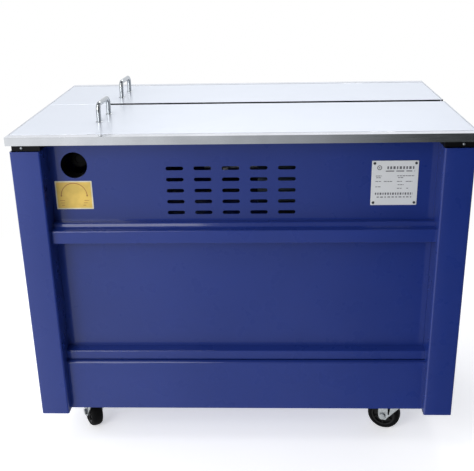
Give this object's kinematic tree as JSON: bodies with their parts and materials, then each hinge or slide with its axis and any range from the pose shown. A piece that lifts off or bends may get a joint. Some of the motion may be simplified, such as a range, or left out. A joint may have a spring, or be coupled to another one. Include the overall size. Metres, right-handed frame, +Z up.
{
  "type": "semi automatic strapping machine",
  "caption": "Wheeled sheet-metal cabinet under a two-leaf steel table with a strap slot, a sealing head, a strap reel behind a door, and swivel casters.",
  "frame": {"origin": "on the floor under the middle of the table", "axes": "+X along the table to its open slot end, -Y towards the service side with the vents, +Y towards the operator, +Z up"},
  "size_m": [0.9, 0.58, 0.7755],
  "materials": {
    "blue_paint": "gloss powder coat",
    "white_steel": "smooth light satin table plate",
    "rim_steel": "satin stainless",
    "chrome": "polished",
    "black_steel": "satin black",
    "zinc": "zinc plated",
    "steel": "machined",
    "plate_aluminium": "etched data plate",
    "label_yellow": "printed sticker",
    "tyre_rubber": "matt black",
    "black_plastic": "moulded",
    "red_plastic": "moulded",
    "green_plastic": "moulded",
    "cast_grey": "machined casting",
    "motor_paint": "hammered grey",
    "belt_rubber": "flat belt",
    "control_grey": "light grey panel"
  },
  "bodies": {
    "chassis": {"base_frame": "blue_paint", "corner_posts": "blue_paint", "cross_rails": "blue_paint", "lower_skirts": "blue_paint", "service_upper_panel": "blue_paint", "service_lower_panel": "blue_paint", "operator_upper_panel": "blue_paint", "side_panels": "blue_paint", "door_hinges": "zinc", "table_support": "black_steel", "table_rim": "rim_steel", "table_hinges": "rim_steel", "nameplate": "plate_aluminium", "tension_label": "label_yellow", "panel_screws": "zinc", "mechanism_deck": "blue_paint", "head_frame": "cast_grey", "cam_bearings": "steel", "slot_guides": "rim_steel", "gearbox": "cast_grey", "main_motor": "motor_paint", "drive_belt": "belt_rubber", "roller_frame": "zinc", "feed_motor": "motor_paint", "reel_stand": "black_steel", "control_panel": "control_grey", "control_box": "zinc", "cable_gland": "black_plastic", "caster_plates": "zinc"},
    "service_leaf": {"service_table_leaf": "white_steel", "service_table_handle": "chrome"},
    "operator_leaf": {"operator_table_leaf": "white_steel", "operator_table_handle": "chrome"},
    "door": {"reel_door": "blue_paint", "door_handle": "black_plastic"},
    "reel": {"strap_reel": "zinc"},
    "brake": {"brake_arm": "steel"},
    "tension_adjuster": {"tension_knob": "black_plastic"},
    "feed_drum": {"feed_roller": "steel"},
    "pinch_drum": {"pinch_roller": "belt_rubber"},
    "reducer_input": {"gearbox_pulley": "plate_aluminium"},
    "motor_rotor": {"motor_pulley": "plate_aluminium"},
    "camshaft": {"cam_shaft": "steel"},
    "gripper_left": {"left_gripper": "steel"},
    "gripper_right": {"right_gripper": "steel"},
    "press": {"seal_press": "steel"},
    "anvil_slide": {"slide_plate": "rim_steel"},
    "heater": {"heater_arm": "steel"},
    "switch_rocker": {"power_switch": "black_plastic"},
    "timer_dial": {"feed_timer_knob": "black_plastic"},
    "feed_push": {"feed_button": "green_plastic"},
    "reset_push": {"reset_button": "red_plastic"},
    "service_left_swivel": {"service_left_caster_fork": "zinc"},
    "service_left_roll": {"service_left_caster_wheel": "tyre_rubber"},
    "service_right_swivel": {"service_right_caster_fork": "zinc"},
    "service_right_roll": {"service_right_caster_wheel": "tyre_rubber"},
    "operator_left_swivel": {"operator_left_caster_fork": "zinc"},
    "operator_left_roll": {"operator_left_caster_wheel": "tyre_rubber"},
    "operator_right_swivel": {"operator_right_caster_fork": "zinc"},
    "operator_right_roll": {"operator_right_caster_wheel": "tyre_rubber"}
  },
  "joints": [
    {"name": "service_leaf_hinge", "type": "hinge", "parent": "chassis", "child": "service_leaf", "pos_m": [0, -0.2675, 0.7325], "axis": [1, 0, 0], "range_deg": [0, 90]},
    {"name": "operator_leaf_hinge", "type": "hinge", "parent": "chassis", "child": "operator_leaf", "pos_m": [0, 0.2675, 0.7325], "axis": [-1, 0, 0], "range_deg": [0, 90]},
    {"name": "door_hinge", "type": "hinge", "parent": "chassis", "child": "door", "pos_m": [-0.383, 0.2275, 0.377], "axis": [0, 0, 1], "range_deg": [0, 90]},
    {"name": "reel_spin", "type": "hinge", "parent": "chassis", "child": "reel", "pos_m": [-0.03, 0, 0.32], "axis": [0, 1, 0], "continuous": true},
    {"name": "brake_pivot", "type": "hinge", "parent": "chassis", "child": "brake", "pos_m": [0.19, -0.068, 0.42], "axis": [0, 1, 0], "range_deg": [-20, 0], "stiffness_Nm_per_rad": 0.4, "springref_deg": 28.65},
    {"name": "tension_turn", "type": "hinge", "parent": "chassis", "child": "tension_adjuster", "pos_m": [-0.338, 0, 0.661], "axis": [0, 1, 0], "range_deg": [-360, 360]},
    {"name": "feed_spin", "type": "hinge", "parent": "chassis", "child": "feed_drum", "pos_m": [-0.215, 0.0275, 0.61], "axis": [0, 1, 0], "continuous": true},
    {"name": "pinch_spin", "type": "hinge", "parent": "chassis", "child": "pinch_drum", "pos_m": [-0.215, 0.0275, 0.6554], "axis": [0, 1, 0], "continuous": true},
    {"name": "reducer_spin", "type": "hinge", "parent": "chassis", "child": "reducer_input", "pos_m": [0.174, 0.0275, 0.585], "axis": [1, 0, 0], "continuous": true},
    {"name": "motor_spin", "type": "hinge", "parent": "chassis", "child": "motor_rotor", "pos_m": [0.174, -0.11, 0.585], "axis": [1, 0, 0], "continuous": true},
    {"name": "camshaft_spin", "type": "hinge", "parent": "chassis", "child": "camshaft", "pos_m": [0, 0.0275, 0.585], "axis": [1, 0, 0], "continuous": true},
    {"name": "left_grip_lift", "type": "slide", "parent": "chassis", "child": "gripper_left", "axis": [0, 0, 1], "range_m": [0, 0.008]},
    {"name": "right_grip_lift", "type": "slide", "parent": "chassis", "child": "gripper_right", "axis": [0, 0, 1], "range_m": [0, 0.008]},
    {"name": "press_lift", "type": "slide", "parent": "chassis", "child": "press", "axis": [0, 0, 1], "range_m": [0, 0.008]},
    {"name": "anvil_retract", "type": "slide", "parent": "chassis", "child": "anvil_slide", "axis": [0, 1, 0], "range_m": [0, 0.02]},
    {"name": "heater_swing", "type": "hinge", "parent": "chassis", "child": "heater", "pos_m": [0, 0.095, 0.716], "axis": [0, 0, 1], "range_deg": [0, 60]},
    {"name": "switch_rock", "type": "hinge", "parent": "chassis", "child": "switch_rocker", "pos_m": [-0.298, 0.225, 0.655], "axis": [1, 0, 0], "range_deg": [0, 16]},
    {"name": "timer_turn", "type": "hinge", "parent": "chassis", "child": "timer_dial", "pos_m": [-0.245, 0.225, 0.655], "axis": [0, 1, 0], "range_deg": [0, 300]},
    {"name": "feed_press", "type": "slide", "parent": "chassis", "child": "feed_push", "axis": [0, -1, 0], "range_m": [0, 0.003], "stiffness_N_per_m": 400, "springref_m": -0.002},
    {"name": "reset_press", "type": "slide", "parent": "chassis", "child": "reset_push", "axis": [0, -1, 0], "range_m": [0, 0.003], "stiffness_N_per_m": 400, "springref_m": -0.002},
    {"name": "service_left_caster_swivel", "type": "hinge", "parent": "chassis", "child": "service_left_swivel", "pos_m": [-0.354, -0.176, 0.086], "axis": [0, 0, 1], "continuous": true},
    {"name": "service_left_wheel_roll", "type": "hinge", "parent": "service_left_swivel", "child": "service_left_roll", "pos_m": [-0.3665, -0.15435, 0.0375], "axis": [-0.866, -0.5, 0], "continuous": true},
    {"name": "service_right_caster_swivel", "type": "hinge", "parent": "chassis", "child": "service_right_swivel", "pos_m": [0.347, -0.169, 0.086], "axis": [0, 0, 1], "continuous": true},
    {"name": "service_right_wheel_roll", "type": "hinge", "parent": "service_right_swivel", "child": "service_right_roll", "pos_m": [0.32382, -0.15963, 0.0375], "axis": [-0.3746, -0.9272, 0], "continuous": true},
    {"name": "operator_left_caster_swivel", "type": "hinge", "parent": "chassis", "child": "operator_left_swivel", "pos_m": [-0.347, 0.169, 0.086], "axis": [0, 0, 1], "continuous": true},
    {"name": "operator_left_wheel_roll", "type": "hinge", "parent": "operator_left_swivel", "child": "operator_left_roll", "pos_m": [-0.3345, 0.19065, 0.0375], "axis": [-0.866, 0.5, 0], "continuous": true},
    {"name": "operator_right_caster_swivel", "type": "hinge", "parent": "chassis", "child": "operator_right_swivel", "pos_m": [0.347, 0.169, 0.086], "axis": [0, 0, 1], "continuous": true},
    {"name": "operator_right_wheel_roll", "type": "hinge", "parent": "operator_right_swivel", "child": "operator_right_roll", "pos_m": [0.33266, 0.18948, 0.0375], "axis": [-0.8192, -0.5736, 0], "continuous": true}
  ],
  "couplings": [
    {"joint": "pinch_spin", "follows": "feed_spin", "ratio": -1.25},
    {"joint": "motor_spin", "follows": "reducer_spin", "ratio": 2},
    {"joint": "camshaft_spin", "follows": "reducer_spin", "ratio": 0.1}
  ]
}
